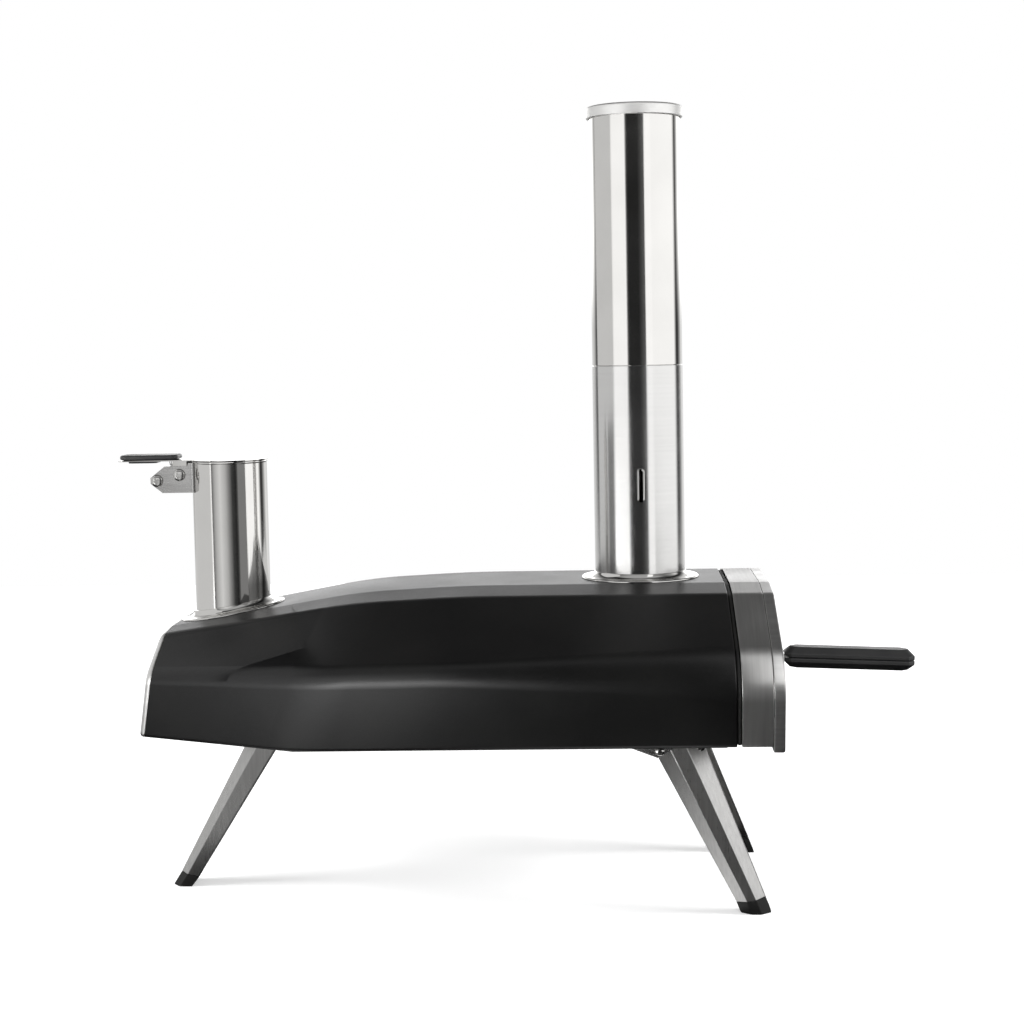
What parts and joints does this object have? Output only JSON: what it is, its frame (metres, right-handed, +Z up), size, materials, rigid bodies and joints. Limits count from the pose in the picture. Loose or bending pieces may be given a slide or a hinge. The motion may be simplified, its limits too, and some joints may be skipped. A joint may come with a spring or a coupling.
{
  "type": "wood fired pizza oven",
  "caption": "Portable wood fired pizza oven: tapered hexagonal black steel body on folding legs, pellet hopper with sprung lid, stacked and capped chimney tubes, lift-off door with bar handle.",
  "frame": {"origin": "centre of the bounding box's footprint, on the floor plane under the feet", "axes": "+Z up, +X out of the mouth towards the door, +Y to the oven's left as it faces +X"},
  "size_m": [0.7408, 0.39, 0.7235],
  "materials": {
    "powder_coat": "matte, fine grain",
    "brushed_steel": "brushed, satin",
    "polished_steel": "polished",
    "dark_steel": "heat darkened",
    "black_plastic": "satin",
    "rubber": "matte",
    "ceramic_fibre": "fibrous",
    "cordierite": "dry, sandy"
  },
  "bodies": {
    "oven": {"outer_shell": "powder_coat", "bottom_plate": "powder_coat", "bottom_screw_left_1": "polished_steel", "bottom_screw_left_2": "polished_steel", "bottom_screw_right_1": "polished_steel", "bottom_screw_right_2": "polished_steel", "front_seal": "rubber", "front_frame": "brushed_steel", "rear_panel": "brushed_steel", "rear_screw_left_upper": "polished_steel", "rear_screw_left_lower": "polished_steel", "rear_screw_right_upper": "polished_steel", "rear_screw_right_lower": "polished_steel", "inner_chamber": "dark_steel", "chamber_rear_wall": "dark_steel", "insulation_blanket": "ceramic_fibre", "pizza_stone": "cordierite", "burner_box": "dark_steel", "chimney_outlet": "dark_steel", "chimney_flange": "polished_steel", "hopper_tube": "polished_steel", "hopper_flange": "polished_steel", "lid_bracket": "brushed_steel", "lid_pivot_bolt": "polished_steel", "lid_stop_bolt": "polished_steel", "front_left_leg_bracket": "brushed_steel", "front_right_leg_bracket": "brushed_steel", "rear_leg_bracket": "brushed_steel", "front_left_leg_pin": "polished_steel", "front_right_leg_pin": "polished_steel", "rear_leg_pin": "polished_steel"},
    "lid": {"hopper_lid": "polished_steel", "lid_handle_pad": "black_plastic", "lid_handle_clamp": "black_plastic", "lid_bumper": "rubber", "lid_spring": "polished_steel"},
    "chimney_lower": {"chimney_lower_tube": "brushed_steel"},
    "chimney_latch": {"chimney_clip": "polished_steel"},
    "chimney_upper": {"chimney_upper_tube": "polished_steel", "chimney_sleeve": "brushed_steel"},
    "chimney_top": {"chimney_cap": "brushed_steel"},
    "door": {"door_panel": "brushed_steel", "door_inner_plate": "dark_steel", "door_tang": "brushed_steel", "door_handle_upper": "black_plastic", "door_handle_lower": "black_plastic", "handle_screw_1": "polished_steel", "handle_screw_2": "polished_steel"},
    "fuel_drawer": {"fuel_tray": "dark_steel", "fuel_hatch": "brushed_steel"},
    "left_front_leg": {"front_left_leg": "brushed_steel", "front_left_leg_foot": "rubber"},
    "right_front_leg": {"front_right_leg": "brushed_steel", "front_right_leg_foot": "rubber"},
    "back_leg": {"rear_leg": "brushed_steel", "rear_leg_foot": "rubber"}
  },
  "joints": [
    {"name": "lid_hinge", "type": "hinge", "parent": "oven", "child": "lid", "pos_m": [-0.3118, 0, 0.3929], "axis": [0, -1, 0], "range_deg": [0, 38], "stiffness_Nm_per_rad": 0.02},
    {"name": "lower_tube_lift", "type": "slide", "parent": "oven", "child": "chimney_lower", "axis": [0, 0, 1], "range_m": [0, 0.1]},
    {"name": "latch_press", "type": "slide", "parent": "chimney_lower", "child": "chimney_latch", "axis": [0, 1, 0], "range_m": [0, 0.003], "stiffness_N_per_m": 300},
    {"name": "upper_tube_lift", "type": "slide", "parent": "chimney_lower", "child": "chimney_upper", "axis": [0, 0, 1], "range_m": [0, 0.08]},
    {"name": "cap_lift", "type": "slide", "parent": "chimney_upper", "child": "chimney_top", "axis": [0, 0, 1], "range_m": [0, 0.05]},
    {"name": "door_pull", "type": "slide", "parent": "oven", "child": "door", "axis": [1, 0, 0], "range_m": [0, 0.15]},
    {"name": "drawer_pull", "type": "slide", "parent": "oven", "child": "fuel_drawer", "axis": [-1, 0, 0], "range_m": [0, 0.12]},
    {"name": "left_front_leg_fold", "type": "hinge", "parent": "oven", "child": "left_front_leg", "pos_m": [0.13, 0.1106, 0.147], "axis": [0, 1, 0], "range_deg": [0, 115]},
    {"name": "right_front_leg_fold", "type": "hinge", "parent": "oven", "child": "right_front_leg", "pos_m": [0.13, -0.1106, 0.147], "axis": [0, 1, 0], "range_deg": [0, 115]},
    {"name": "back_leg_fold", "type": "hinge", "parent": "oven", "child": "back_leg", "pos_m": [-0.2255, 0, 0.147], "axis": [0, -1, 0], "range_deg": [0, 118]}
  ]
}
